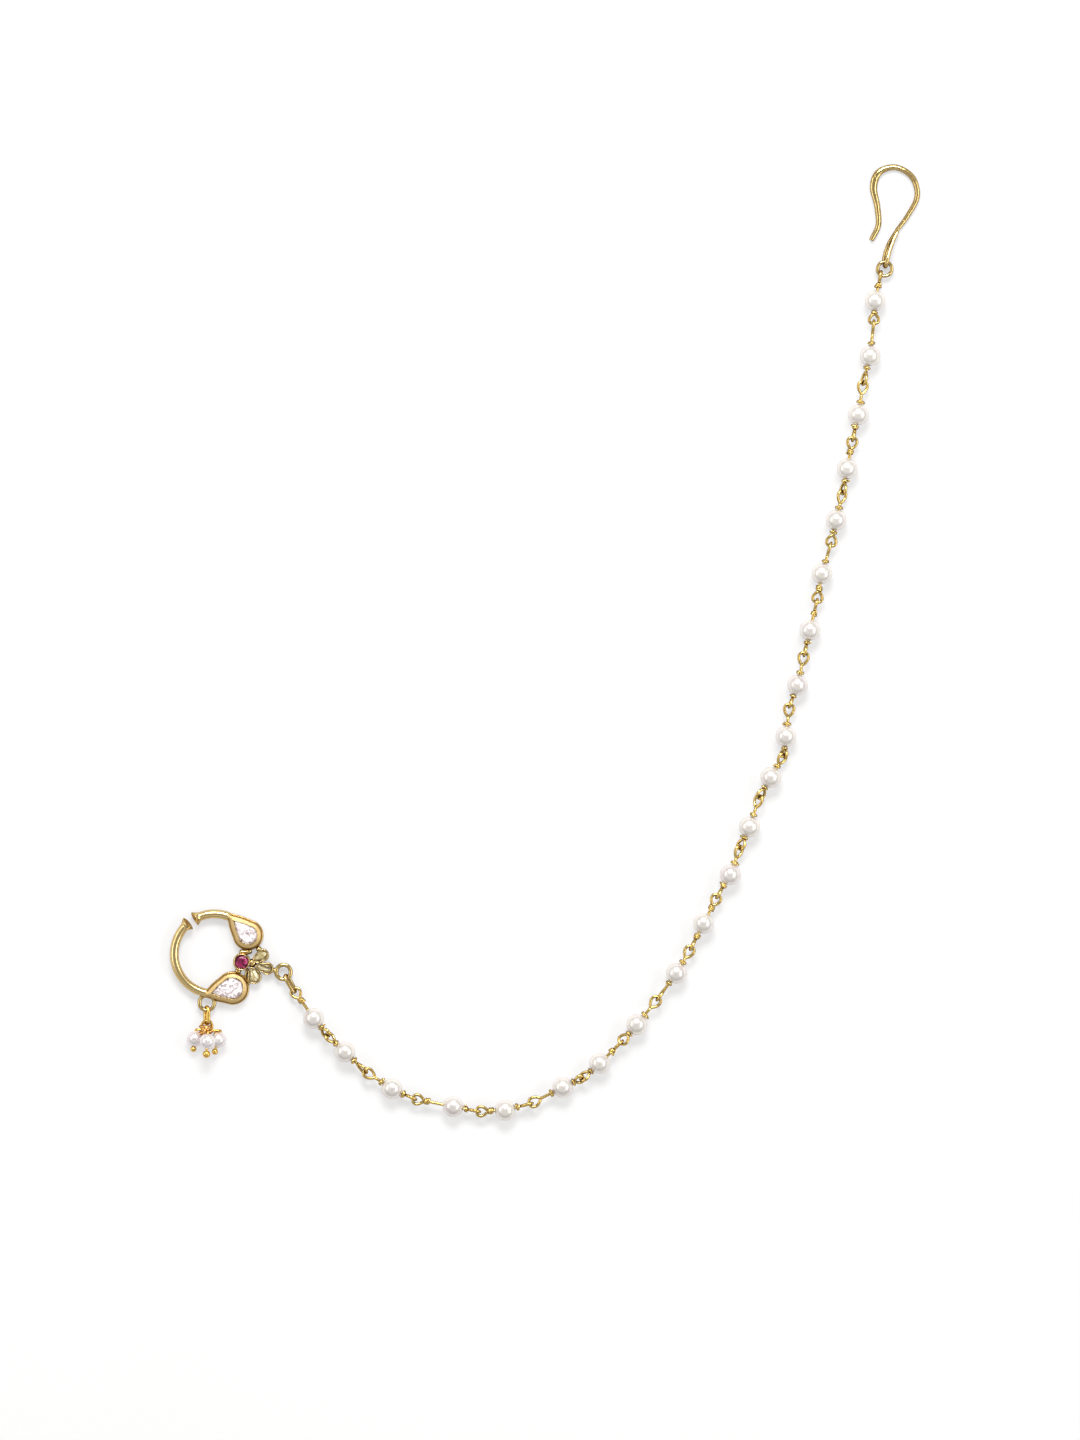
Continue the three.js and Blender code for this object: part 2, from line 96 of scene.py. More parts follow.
def turnedOut(flat, faces, glow):
    a, b, c = (flat[faces[:, k]] for k in range(3))
    volume = np.einsum("ij,ij->i", a, np.cross(b, c)).sum()
    return {"points": flat, "faces": faces if volume > 0 else faces[:, ::-1], "satin": glow}


def tube(path, radius, lie=up, sides=16, closed=False, wide=1.0):
    # A ring round each point of the path: side * wide * radius * cos a + rise * radius * sin a. Side is
    # square to the path and to lie, and rise is square to the path and to side.
    if closed:
        along = unit(np.roll(path, -1, axis=0) - np.roll(path, 1, axis=0))
    else:
        along = unit(np.gradient(path, axis=0))
    side = unit(np.cross(lie, along))
    rise = np.cross(along, side)
    angle = np.linspace(0, 2 * np.pi, sides, endpoint=False)[None, :, None]
    radius = np.broadcast_to(radius, len(path))[:, None, None]
    wide = np.broadcast_to(wide, len(path))[:, None, None]
    ring = radius * (wide * np.cos(angle) * side[:, None] + np.sin(angle) * rise[:, None])
    return patch(path[:, None] + ring, closed)


def cutTube(path, radius, lie=up, sides=16, bevel=0.07, **rest):
    # A tube whose two cut ends are filed: the first and last rings are drawn in by the bevel.
    along = unit(np.gradient(path, axis=0))
    path = np.vstack([path[0] - along[0] * bevel, path, path[-1] + along[-1] * bevel])
    radius = np.broadcast_to(radius, len(path) - 2)
    radius = np.concatenate([[radius[0] - bevel], radius, [radius[-1] - bevel]])
    return tube(path, radius, lie, sides, **rest)


def ball(centre, radius, squash=1.0):
    # A half circle, from near one pole to near the other, spun round the upright.
    slope = np.linspace(-0.48, 0.48, 14)[:, None, None] * np.pi
    angle = np.linspace(0, 2 * np.pi, 24, endpoint=False)[None, :, None]
    ring = np.cos(slope) * (np.cos(angle) * awayAxis - np.sin(angle) * sideAxis)
    return patch(np.asarray(centre) + radius * (squash * np.sin(slope) * up + ring))


def smoothPath(points, count):
    # A centripetal Catmull-Rom curve: cubic pieces whose slopes come from the roots of the distances between
    # points.
    points = np.asarray(points, float)
    guarded = np.vstack([2 * points[0] - points[1], points, 2 * points[-1] - points[-2]])
    place = np.linspace(0, len(points) - 1, count)
    piece = np.minimum(place.astype(int), len(points) - 2)
    t = (place - piece)[:, None]
    before, start, end, after = (guarded[piece + k] for k in range(4))
    gaps = [np.sqrt(np.linalg.norm(b - a, axis=1, keepdims=True))
            for a, b in ((before, start), (start, end), (end, after))]
    leave = (start - before) / gaps[0] - (end - before) / (gaps[0] + gaps[1]) + (end - start) / gaps[1]
    arrive = (end - start) / gaps[1] - (after - start) / (gaps[1] + gaps[2]) + (after - end) / gaps[2]
    leave, arrive = leave * gaps[1], arrive * gaps[1]
    bend = 3 * (end - start) - 2 * leave - arrive
    return start + leave * t + bend * t ** 2 + (2 * (start - end) + leave + arrive) * t ** 3


def onCircle(angle):
    return np.stack([np.cos(angle), np.sin(angle)], axis=1)


def raised(outline, height):
    # Points in the flat, all lifted to one height.
    return np.column_stack([outline, np.full(len(outline), height)])


def makePiece(name, patches, material, nodes, flat=False):
    # Joins skins into one mesh in the frame's own place, hangs it under the root body and hides the parts it
    # stands for.
    counts = np.cumsum([0] + [len(p["points"]) for p in patches])
    points = np.vstack([p["points"] for p in patches]) * mm + ringMiddle
    faces = np.vstack([p["faces"] + start for p, start in zip(patches, counts)])
    mesh = bpy.data.meshes.new(name)
    mesh.vertices.add(len(points))
    mesh.vertices.foreach_set("co", points.astype(np.float32).ravel())
    mesh.loops.add(faces.size)
    mesh.loops.foreach_set("vertex_index", faces.astype(np.int32).ravel())
    mesh.polygons.add(len(faces))
    mesh.polygons.foreach_set("loop_start", np.arange(0, faces.size, 3, dtype=np.int32))
    mesh.polygons.foreach_set("use_smooth", np.full(len(faces), not flat))
    mesh.update(calc_edges=True)
    mesh.validate()
    satin = mesh.attributes.new("satin", "FLOAT", "POINT")
    satin.data.foreach_set("value", np.concatenate([p["satin"] for p in patches]).astype(np.float32))
    mesh.materials.append(material)
    piece = bpy.data.objects.new(name, mesh)
    bpy.context.scene.collection.objects.link(piece)
    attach(piece, "root")
    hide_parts(*nodes)


def framePiece(name, patches, material):
    # A piece of the one soldered metal frame.
    makePiece(name, patches, material, ["nath_frame"])


class Signal:
    # A value inside a material; arithmetic on it adds Math nodes.
    def __init__(self, maker, socket):
        self.maker, self.socket = maker, socket

    def combine(self, operation, first, second):
        return self.maker.add("ShaderNodeMath", {"operation": operation}, {0: first, 1: second})

    def __add__(self, other):
        return self.combine("ADD", self, other)

    def __radd__(self, other):
        return self.combine("ADD", other, self)

    def __sub__(self, other):
        return self.combine("SUBTRACT", self, other)

    def __rsub__(self, other):
        return self.combine("SUBTRACT", other, self)

    def __mul__(self, other):
        return self.combine("MULTIPLY", self, other)

    def __rmul__(self, other):
        return self.combine("MULTIPLY", other, self)


class Finish:
    # One material: a Principled shader, and a method that adds any node.
    def __init__(self, name, **constants):
        self.material = bpy.data.materials.new(name)
        self.material.use_nodes = True
        self.tree = self.material.node_tree
        self.shader = self.tree.nodes["Principled BSDF"]
        for socket, value in constants.items():
            self.shader.inputs[socket.replace("_", " ")].default_value = value

    def add(self, kind, settings=None, inputs=None, output=0):
        node = self.tree.nodes.new(kind)
        for key, value in (settings or {}).items():
            if key == "stops":
                ramp = node.color_ramp.elements
                while len(ramp) < len(value):
                    ramp.new(0.5)
                for element, (position, colour) in zip(ramp, value):
                    element.position = position
                    element.color = (*colour, 1.0)
            else:
                setattr(node, key, value)
        for key, value in (inputs or {}).items():
            self.feed(node.inputs[key], value)
        return Signal(self, node.outputs[output])

    def feed(self, socket, value):
        if isinstance(value, Signal):
            self.tree.links.new(value.socket, socket)
        else:
            socket.default_value = value

    def place(self, turn=0.0, stretch=(1.0, 1.0, 1.0), middle=(0.0, 0.0, 0.0)):
        # Object coordinates, centred on a place in metres, turned about the upright and stretched.
        inputs = {"Vector": self.add("ShaderNodeTexCoord", output="Object"), "Location": middle,
                  "Rotation": (0.0, 0.0, turn), "Scale": stretch}
        return self.add("ShaderNodeMapping", {"vector_type": "TEXTURE"}, inputs)

    def noise(self, place, size, detail=3.0, rough=0.5):
        # Cloudy values about 0.5, with blots about size millimetres across.
        inputs = {"Vector": place, "Scale": 1 / (size * mm), "Detail": detail, "Roughness": rough}
        return self.add("ShaderNodeTexNoise", inputs=inputs)

    def cells(self, place, size, output="Color"):
        # Facet-like cells about size millimetres across.
        inputs = {"Vector": place, "Scale": 1 / (size * mm), "Randomness": 1.0}
        return self.add("ShaderNodeTexVoronoi", {"feature": "F1"}, inputs, output)

    def ramp(self, value, stops):
        return self.add("ShaderNodeValToRGB", {"stops": stops}, {"Fac": value})

    def fade(self, value, start, end):
        # From 0 at start to 1 at end, eased at both.
        inputs = {"Value": value, "From Min": start, "From Max": end}
        return self.add("ShaderNodeMapRange", {"interpolation_type": "SMOOTHSTEP"}, inputs)

    def upward(self, vector):
        return self.add("ShaderNodeSeparateXYZ", inputs={0: vector}, output="Z")

    def mix(self, factor, first, second):
        first, second = ((*c, 1.0) if isinstance(c, tuple) else c for c in (first, second))
        inputs = {0: factor, 6: first, 7: second}
        return self.add("ShaderNodeMix", {"data_type": "RGBA"}, inputs, 2)

    def bump(self, height, depth, strength=1.0, beneath=None):
        # Relief of depth millimetres, on top of any relief beneath.
        inputs = {"Height": height, "Distance": depth * mm, "Strength": strength}
        if beneath is not None:
            inputs["Normal"] = beneath
        return self.add("ShaderNodeBump", inputs=inputs)

    def drive(self, **sockets):
        for socket, value in sockets.items():
            self.feed(self.shader.inputs[socket.replace("_", " ")], value)
        return self.material


# What every gold shares. Sizes and depths are in millimetres, and the rough values add to its own roughness.
plating = {
    "clouds": 2.6, "marks": 0.22, "markStretch": (0.12, 1.0, 1.0), "markDepth": 0.006, "dents": 0.8,
    # The brown painted shade low down fades in between these two heights, and it makes the surface rougher
    # there too.
    "lowShadeTop": 0.9, "lowShadeFoot": 0.15,
    "cloudRough": 0.12, "satinRough": 0.26, "satinMarkRough": 0.12, "lowShadeRough": 0.2,
}


def makeGold(name, gold, hammer=0.0):
    # Plated brass: cloudy plating, hairline polishing marks, painted shade that gives steep sides a deeper
    # colour than the level tops, brown painted shade low down near the table and where settings meet, and a
    # satin skin where the piece's satin attribute says so. Hammer is how deep its dents are.
    finish = Finish(name, Metallic=1.0, Specular_Tint=(*gold["edge"], 1.0))
    place = finish.place()
    clouds = finish.noise(place, plating["clouds"], 4.0)
    marks = finish.noise(finish.place(stretch=plating["markStretch"]), plating["marks"], 4.0, 0.7)
    satin = finish.add("ShaderNodeAttribute", {"attribute_name": "satin"}, output="Fac")
    # Painted shade: a brown darkening low down, from the table up to just under a millimetre.
    low = finish.fade(finish.upward(place), plating["lowShadeTop"] * mm, plating["lowShadeFoot"] * mm)
    # Painted shade: the steeper a face, the more of the darker side colour it takes, while level tops keep
    # the gold.
    facing = finish.upward(finish.add("ShaderNodeNewGeometry", output="Normal"))
    sideShade = finish.fade(facing, gold["sideShadeFrom"], 0.0)
    polished = finish.mix(clouds, gold["bright"], gold["deep"])
    brushed = finish.mix(marks, gold["satinLight"], gold["satinDark"])
    colour = finish.mix(satin, polished, brushed)
    colour = finish.mix(sideShade * gold["shade"], colour, gold["side"])
    colour = finish.mix(low * gold["lowShade"], colour, gold["brown"])
    satinRough = plating["satinRough"] + plating["satinMarkRough"] * marks
    roughness = (gold["roughness"] + plating["cloudRough"] * clouds + satin * satinRough
                 + plating["lowShadeRough"] * low)
    relief = finish.bump(marks, plating["markDepth"], 0.6)
    if hammer:
        dents = finish.noise(place, plating["dents"], 1.0)
        relief = finish.bump(dents, hammer, 1.0, relief)
    return finish.drive(Base_Color=colour, Roughness=roughness, Normal=relief)


# The side colours are painted shade on steep faces, and shade is how much of it is laid on.
paleGold = {
    "bright": (0.95, 0.75, 0.38), "deep": (0.84, 0.60, 0.25), "edge": (0.46, 0.32, 0.13),
    "satinLight": (0.86, 0.65, 0.32), "satinDark": (0.68, 0.48, 0.21), "side": (0.30, 0.175, 0.055),
    "brown": (0.20, 0.09, 0.03), "lowShade": 0.5, "roughness": 0.17, "sideShadeFrom": 0.75, "shade": 0.85,
}
wireGold = {
    **paleGold, "bright": (0.90, 0.69, 0.31), "deep": (0.72, 0.50, 0.18), "edge": (0.2, 0.125, 0.05),
    "side": (0.13, 0.07, 0.02), "roughness": 0.1, "sideShadeFrom": 0.94, "shade": 1.0,
}
# The joints get a darker brown painted shade low down.
jointGold = {**wireGold, "brown": (0.12, 0.05, 0.015), "sideShadeFrom": 1.0}
warmGold = {
    **paleGold, "bright": (0.98, 0.72, 0.22), "deep": (0.86, 0.50, 0.09), "edge": (0.6, 0.32, 0.08),
    "side": (0.40, 0.18, 0.03), "brown": (0.3, 0.1, 0.02), "lowShade": 0.4, "sideShadeFrom": 0.85,
}
tangleGold = {
    **warmGold, "bright": (0.98, 0.66, 0.24), "deep": (0.72, 0.30, 0.07), "side": (0.22, 0.07, 0.012),
    "sideShadeFrom": 1.0, "shade": 1.0,
}

# Nacre: the sizes of its clouds and dimples and the dimples' depth in millimetres, and its colours.
nacre = {"clouds": 2.2, "dimples": 0.5, "dimpleDepth": 0.012, "roughness": 0.27, "dimpleRough": 0.12}
dropPearlStops = [(0.3, (0.86, 0.765, 0.79)), (0.5, (0.89, 0.83, 0.84)), (0.7, (0.91, 0.87, 0.85))]
pearlStops = [(0.3, (0.84, 0.77, 0.755)), (0.5, (0.87, 0.825, 0.785)), (0.7, (0.89, 0.85, 0.775))]


def makePearlSkin(name, stops):
    # Imitation pearl: white nacre with faint clouds, tiny dimples and a clear coat.
    finish = Finish(name, Metallic=0.5, Coat_Weight=0.4, Coat_Roughness=0.14, Specular_IOR_Level=0.3,
                    Specular_Tint=(0.74, 0.71, 0.70, 1.0))
    place = finish.place()
    clouds = finish.noise(place, nacre["clouds"], 2.0)
    fine = finish.noise(place, nacre["dimples"])
    relief = finish.bump(fine, nacre["dimpleDepth"], 0.5)
    roughness = nacre["roughness"] + nacre["dimpleRough"] * fine
    return finish.drive(Base_Color=finish.ramp(clouds, stops), Roughness=roughness, Normal=relief)


# Painted facet reflections in a stone: the smaller cells' size as a share of the larger, and how much each
# kind counts.
sparkle = {"smaller": 0.45, "largeShare": 0.62, "smallShare": 0.38, "depth": 0.25}


def makeStoneSkin(name, stops, size, glow, turn=0.0, stretch=(1.0, 1.0, 1.0), rim=None):
    # A cut stone over foil: its own colour in cells painted lighter and darker as facet reflections, broken
    # again by smaller cells, each tilted by a relief, under a hard clear surface, with the same colours given
    # off as a faint painted glow. A rim darkens it with painted shade between two distances from a middle.
    # Painted glow: the emission takes the stone's painted colours, though the stone is no lamp.
    finish = Finish(name, Coat_Weight=0.6, Coat_Roughness=0.02, Specular_IOR_Level=0.5,
                    Emission_Strength=glow)
    place = finish.place(turn, stretch)
    large = finish.add("ShaderNodeSeparateColor", inputs={0: finish.cells(place, size)})
    finer = finish.cells(place, size * sparkle["smaller"])
    small = finish.add("ShaderNodeSeparateColor", inputs={0: finer})
    colour = finish.ramp(sparkle["largeShare"] * large + sparkle["smallShare"] * small, stops)
    # Painted shade: the colour darkens towards the rim colour between the two distances.
    if rim:
        fromMiddle = finish.place(middle=rim["middle"])
        away = finish.add("ShaderNodeVectorMath", {"operation": "LENGTH"}, {0: fromMiddle}, "Value")
        shade = finish.fade(away, rim["start"] * mm, rim["end"] * mm)
        colour = finish.mix(shade * (0.95 - 0.5 * small), colour, rim["colour"])
    tilt = finish.bump(finish.cells(place, size, "Distance"), sparkle["depth"], 0.7)
    return finish.drive(Base_Color=colour, Emission_Color=colour, Roughness=0.03 + 0.1 * small, Normal=tilt)


# Each stone's colours run from painted dark facets to the white of painted facet reflections.
crystalStops = [(0.14, (0.30, 0.24, 0.24)), (0.26, (0.52, 0.44, 0.42)), (0.4, (0.74, 0.64, 0.68)),
                (0.56, (0.86, 0.82, 0.86)), (0.75, (1.0, 0.99, 1.0))]
rubyStops = [(0.15, (0.04, 0.0, 0.01)), (0.4, (0.2, 0.002, 0.05)), (0.64, (0.42, 0.004, 0.11)),
             (0.9, (0.75, 0.07, 0.28))]
champagneStops = [(0.15, (0.08, 0.05, 0.014)), (0.38, (0.29, 0.21, 0.075)), (0.62, (0.52, 0.42, 0.19)),
                  (0.88, (0.92, 0.87, 0.66))]

goldSkin = makeGold("goldPlate", paleGold)
wireSkin = makeGold("goldWire", wireGold)
petalSkin = makeGold("goldPetals", {**paleGold, "side": (0.16, 0.085, 0.025), "sideShadeFrom": 0.98, "shade": 1.0})
jointSkin = makeGold("goldJoints", jointGold)
hookSkin = makeGold("goldHammered", wireGold, hammer=0.08)
warmSkin = makeGold("goldWarm", warmGold)
tangleSkin = makeGold("goldTangle", tangleGold)
linkSkin = makeGold("goldLinks", {**wireGold, "bright": (0.96, 0.73, 0.28), "deep": (0.79, 0.51, 0.13)})
pearlSkin = makePearlSkin("pearlNacre", pearlStops)
dropPearlSkin = makePearlSkin("pinkNacre", dropPearlStops)
crystalSkin = makeStoneSkin("crystal", crystalStops, 0.52, 0.16)
# Painted shade: the ruby darkens towards its edge.
rubyShadeRing = {
    "middle": tuple((rubyLow + rubyHigh) / 2), "start": 0.95, "end": 1.35, "colour": (0.06, 0.002, 0.015),
}
rubySkin = makeStoneSkin("rubyGlass", rubyStops, 0.6, 0.06, rim=rubyShadeRing)
print("materials made")


# The open ring. leftEnd, rightEnd, upperJoin, lowerJoin: degrees round it. dome: the length of a closed end.
noseRing = {
    "radius": 7.6, "tube": 0.82, "height": 1.38, "dome": 0.8, "flare": 1.38, "flareLength": 1.3,
    "flarePower": 1.9, "rim": 0.12, "mouthTilt": 0.22,
    "leftEnd": 130.7, "rightEnd": 119.2, "upperJoin": 71.0, "lowerJoin": 257.0,
}
# The mouth's rounded rim and dimple: along from the very end, and the radius as a share of the flare.
mouthRows = [(-0.05, 0.985), (0.0, 0.94), (0.0, 0.84), (-0.04, 0.77), (-0.14, 0.7), (-0.3, 0.6),
             (-0.42, 0.4), (-0.46, 0.12)]


def ringTube(mouth, join, sense):
    # A lathe profile bent round the ring: a rounded end under the setting, the plain tube, a trumpet that
    # opens as a power of the way to the mouth, a rounded rim and a dimple. Sections lean back near the
    # mouth, to face upwards.
    tube, flare, length = noseRing["tube"], noseRing["flare"], noseRing["flareLength"]
    run = abs(math.radians(join - mouth)) * noseRing["radius"]
    closing = np.linspace(0.06, 1, 14)[:-1]
    end = np.stack([-run - noseRing["dome"] * (1 - closing), tube * np.sqrt(1 - (1 - closing) ** 2)], axis=1)
    plain = np.stack([np.linspace(-run, -length, 70), np.full(70, tube)], axis=1)
    way = np.linspace(0, 1, 16)[1:]
    trumpet = np.stack([-length + way * (length - noseRing["rim"]),
                        tube + (flare - tube) * way ** noseRing["flarePower"]], axis=1)
    along, radius = np.vstack([end, plain, trumpet, np.array(mouthRows) * (1, flare)]).T
    around = np.linspace(0, 2 * np.pi, 40, endpoint=False)
    out = radius[:, None] * np.cos(around)
    rise = radius[:, None] * np.sin(around)
    near = np.clip(1 + along / length, 0, 1)[:, None] ** 2
    leaned = along[:, None] - near * noseRing["mouthTilt"] * rise
    angle = math.radians(mouth) + sense * leaned / noseRing["radius"]
    reach = noseRing["radius"] + out
    return patch(np.stack([reach * np.cos(angle), reach * np.sin(angle), noseRing["height"] + rise], axis=-1))


framePiece("noseRingTube", [ringTube(noseRing["leftEnd"], noseRing["lowerJoin"], -1)], goldSkin)
framePiece("noseRingStub", [ringTube(noseRing["rightEnd"], noseRing["upperJoin"], 1)], goldSkin)
print("nose ring made")


# Drop-shaped settings: an arc at the wide end, an arc at the tip, and flanks that swell between them.
pears = {
    "Upper": {"wide": (6.4, 3.56), "radius": 2.9, "tip": (3.1, 7.0), "tipRadius": 0.72, "swell": 0.1},
    "Lower": {"wide": (3.45, -6.51), "radius": 3.15, "tip": (-1.4, -7.65), "tipRadius": 0.66, "swell": 0.14},
}
petals = {
    "Upper": {"wide": (9.15, -0.25), "radius": 1.22, "tip": (7.47, -1.42), "tipRadius": 0.3, "swell": 0.17},
    "Middle": {"wide": (10.05, -2.81), "radius": 1.2, "tip": (7.99, -2.3), "tipRadius": 0.3, "swell": 0.17},
    "Lower": {"wide": (7.61, -4.38), "radius": 1.33, "tip": (7.0, -2.7), "tipRadius": 0.3, "swell": 0.17},
}
finestTip = 0.08

# Profiles: inset from the outline, height, satin.
pearBezelProfile = [
    (0.1, 0.0, 0), (0.0, 0.12, 0), (0.0, 0.7, 0), (0.04, 0.9, 0), (0.13, 0.98, 0), (0.22, 0.94, 0),
    (0.28, 0.87, 0.3), (0.31, 1.0, 0.5), (0.32, 1.4, 0.8), (0.34, 1.8, 1), (0.4, 2.04, 1), (0.52, 2.17, 1),
    (0.7, 2.25, 1), (0.88, 2.3, 1), (0.97, 2.36, 0.4), (1.05, 2.37, 0), (1.1, 2.28, 0), (1.12, 1.9, 0),
    (1.14, 1.5, 0),
]
petalBezelProfile = [
    (0.06, 0.0, 0), (0.0, 0.12, 0), (0.0, 1.0, 0), (0.01, 1.5, 0), (0.06, 1.68, 0), (0.15, 1.74, 0),
    (0.24, 1.7, 0), (0.29, 1.55, 0), (0.31, 1.2, 0),
]
rubyBezelProfile = [
    (0.06, 0.0, 0), (0.0, 0.12, 0), (0.0, 1.2, 0), (0.02, 1.85, 0), (0.08, 2.05, 0), (0.18, 2.13, 0),
    (0.28, 2.08, 0), (0.34, 1.9, 0), (0.36, 1.5, 0),
]


def dropOutline(setting, inset):
    # An arc round the tip, a flank, an arc round the wide end and the other flank. The flanks swell by the
    # square of a half sine. Drawing in by inset shrinks both arcs, and the tip slides to the wide end once
    # it can shrink no more. A setting with no tip is a circle.
    wide = np.array(setting["wide"])
    if "tip" not in setting:
        return wide + (setting["radius"] - inset) * onCircle(np.linspace(0, 2 * np.pi, 96, endpoint=False))
    tip = np.array(setting["tip"])
    spread = setting["radius"] - setting["tipRadius"]
    slide = max(0.0, (finestTip + inset - setting["tipRadius"]) / spread)
    tipRadius = finestTip if slide > 0 else setting["tipRadius"] - inset
    heading = tip - wide
    aim = math.atan2(heading[1], heading[0])
    tangent = math.acos(spread / np.hypot(*heading))

    def arc(centre, radius, start, end, count):
        return centre + radius * onCircle(aim + np.linspace(start, end, count))

    def flank(start, end, sense):
        way = np.linspace(0, 1, 26)[1:-1, None]
        outward = np.array([math.cos(aim + sense * tangent), math.sin(aim + sense * tangent)])
        return start + (end - start) * way + setting["swell"] * np.sin(np.pi * way) ** 2 * outward

    point = arc(tip + (wide - tip) * slide, tipRadius, -tangent, tangent, 14)
    broadEnd = arc(wide, setting["radius"] - inset, tangent, 2 * np.pi - tangent, 60)
    return np.vstack([point, flank(point[-1], broadEnd[0], 1), broadEnd, flank(broadEnd[-1], point[0], -1)])


def bezel(setting, profile):
    # The profile carried round the outline, smoothed between its corners.
    rows = smoothPath(profile, 6 * len(profile))
    loops = [raised(dropOutline(setting, inset), height) for inset, height, _ in rows]
    return patch(np.stack(loops), satin=np.clip(rows[:, 2:], 0, 1))


def cutLoop(setting, inset, height, count, phase):
    # Evenly spaced corners along the outline, moved round by a share of a step.
    outline = dropOutline(setting, inset)
    closed = np.vstack([outline, outline[:1]])
    length = np.concatenate([[0], np.cumsum(np.linalg.norm(np.diff(closed, axis=0), axis=1))])
    place = (np.arange(count) + phase) / count * length[-1]
    corners = [np.interp(place, length, closed[:, axis]) for axis in range(2)]
    return raised(np.stack(corners, axis=1), height)


def cutStone(setting, cut):
    # Flat facets between loops whose corners stand half a step apart in turn, so that they meet as triangles.
    rows, count = cut["rows"], cut["corners"]
    loops = np.stack([cutLoop(setting, inset, height, count, phase) for inset, height, phase in rows])
    here = np.arange(count)
    after = (here + 1) % count
    faces = []
    for row, ((_, _, phase), (_, _, nextPhase)) in enumerate(zip(rows, rows[1:])):
        low, high = row * count, (row + 1) * count
        if nextPhase >= phase:
            faces += [np.stack([low + here, low + after, high + here], 1),
                      np.stack([high + here, low + after, high + after], 1)]
        else:
            faces += [np.stack([low + here, high + after, high + here], 1),
                      np.stack([low + here, low + after, high + after], 1)]
    flat = loops.reshape(-1, 3)
    last = (len(rows) - 1) * count
    ends = np.vstack([loops[0].mean(axis=0), loops[-1].mean(axis=0)])
    faces += [np.stack([after, here, np.full(count, len(flat))], 1),
              np.stack([last + here, last + after, np.full(count, len(flat) + 1)], 1)]
    flat = np.vstack([flat, ends])
    return turnedOut(flat, np.vstack(faces), np.zeros(len(flat)))


# How each stone is cut. Rows: inset from the outline, height, and how far the corners move round, in steps.
pearCut = {
    "corners": 18,
    "rows": [(1.9, 1.3, 0), (1.12, 1.75, 0), (1.12, 1.95, 0), (1.4, 2.28, 0.5), (1.72, 2.48, 0)],
}
petalCut = {
    "corners": 14,
    "rows": [(0.7, 1.0, 0), (0.3, 1.3, 0), (0.3, 1.48, 0), (0.55, 1.78, 0.5), (0.86, 1.92, 0)],
}
rubyCut = {
    "corners": 12,
    "rows": [(1.3, 1.3, 0), (0.35, 1.75, 0), (0.35, 1.88, 0), (0.62, 2.1, 0.5), (0.9, 2.2, 0)],
}
champagne = {"facet": 0.5, "glow": 0.1, "stretch": (3.0, 0.8, 1.0)}

for name, setting in pears.items():
    framePiece("pearBezel" + name, [bezel(setting, pearBezelProfile)], goldSkin)
    makePiece("pearStone" + name, [cutStone(setting, pearCut)], crystalSkin,
              ["pear_stone_" + name.lower()], flat=True)
for name, setting in petals.items():
    aim = math.atan2(setting["wide"][1] - setting["tip"][1], setting["wide"][0] - setting["tip"][0])
    skin = makeStoneSkin("champagne" + name, champagneStops, champagne["facet"], champagne["glow"], aim,
                         champagne["stretch"])
    framePiece("petalBezel" + name, [bezel(setting, petalBezelProfile)], petalSkin)
    makePiece("petalStone" + name, [cutStone(setting, petalCut)], skin,
              ["petal_stone_" + name.lower()], flat=True)
framePiece("rubyBezel", [bezel(rubySetting, rubyBezelProfile)], goldSkin)
makePiece("rubyStone", [cutStone(rubySetting, rubyCut)], rubySkin, ["ruby"], flat=True)

solderBeads = [
    {"middle": (7.2, -1.75, 0.9), "radius": 0.85}, {"middle": (8.45, 0.9, 0.9), "radius": 0.55},
    {"middle": (4.5, -3.25, 0.75), "radius": 0.6}, {"middle": (6.45, -5.15, 0.9), "radius": 0.5},
    {"middle": (11.4, -3.15, 1.15), "radius": 0.5},
]
solderBar = {
    "radius": 0.52,
    "route": [(4.75, 0.42, 0.75), (5.4, 0.3, 0.8), (6.3, 0.36, 0.8), (7.1, 0.62, 0.75)],
}
solderStrip = {
    "radius": 0.3,
    "route": [(6.45, -2.75, 1.0), (6.1, -3.5, 0.95), (5.98, -4.4, 0.9), (6.25, -5.25, 0.8),
              (6.75, -5.8, 0.7)],
}
granule = {"middle": (7.1, -1.5, 1.95), "radius": 0.42}


def solderRun(solder):
    # A run of solder that rounds off at both ends as a superellipse.
    way = np.linspace(-0.97, 0.97, 48)
    path = smoothPath(solder["route"], len(way))
    return tube(path, solder["radius"] * (1 - way ** 6) ** 0.5, sides=20)


joints = [ball(bead["middle"], bead["radius"]) for bead in solderBeads]
joints += [solderRun(solderBar), solderRun(solderStrip)]
framePiece("solderJoints", joints, jointSkin)
framePiece("hubGranule", [ball(granule["middle"], granule["radius"])], goldSkin)
print("settings and stones made")


carrierHeight = 1.15
# Rings of wire. seam: where round it, in degrees, a ring is soldered shut.
rings = {
    "chainCarrierRing": {"middle": (13.13, -3.46), "radius": 1.38, "wire": 0.385, "seam": 170.0},
    "dropCarrierRing": {"middle": (-1.41, -9.3), "radius": 1.42, "wire": 0.37, "seam": 90.0},
    "dropRing": {"middle": (-1.41, -13.7), "radius": 0.98, "wire": 0.27, "seam": 60.0},
    "hookRing": {"middle": (127.3, 130.05), "radius": 1.34, "wire": 0.34, "seam": 200.0},
}
chainOval = {
    "middle": (14.4, -5.66), "halfLength": 1.77, "halfHeight": 0.82, "wire": 0.33,
    "angle": -60.0, "lean": 22.0,
}
dropOval = {
    "middle": (-1.41, -11.7), "halfLength": 1.58, "halfHeight": 0.7, "wire": 0.34,
    "angle": -90.0, "lean": -28.0,
}
ovalShoulder = 0.72
hookRingHeight = 1.22
seamBead = {"swell": 0.16, "reach": 16.0}


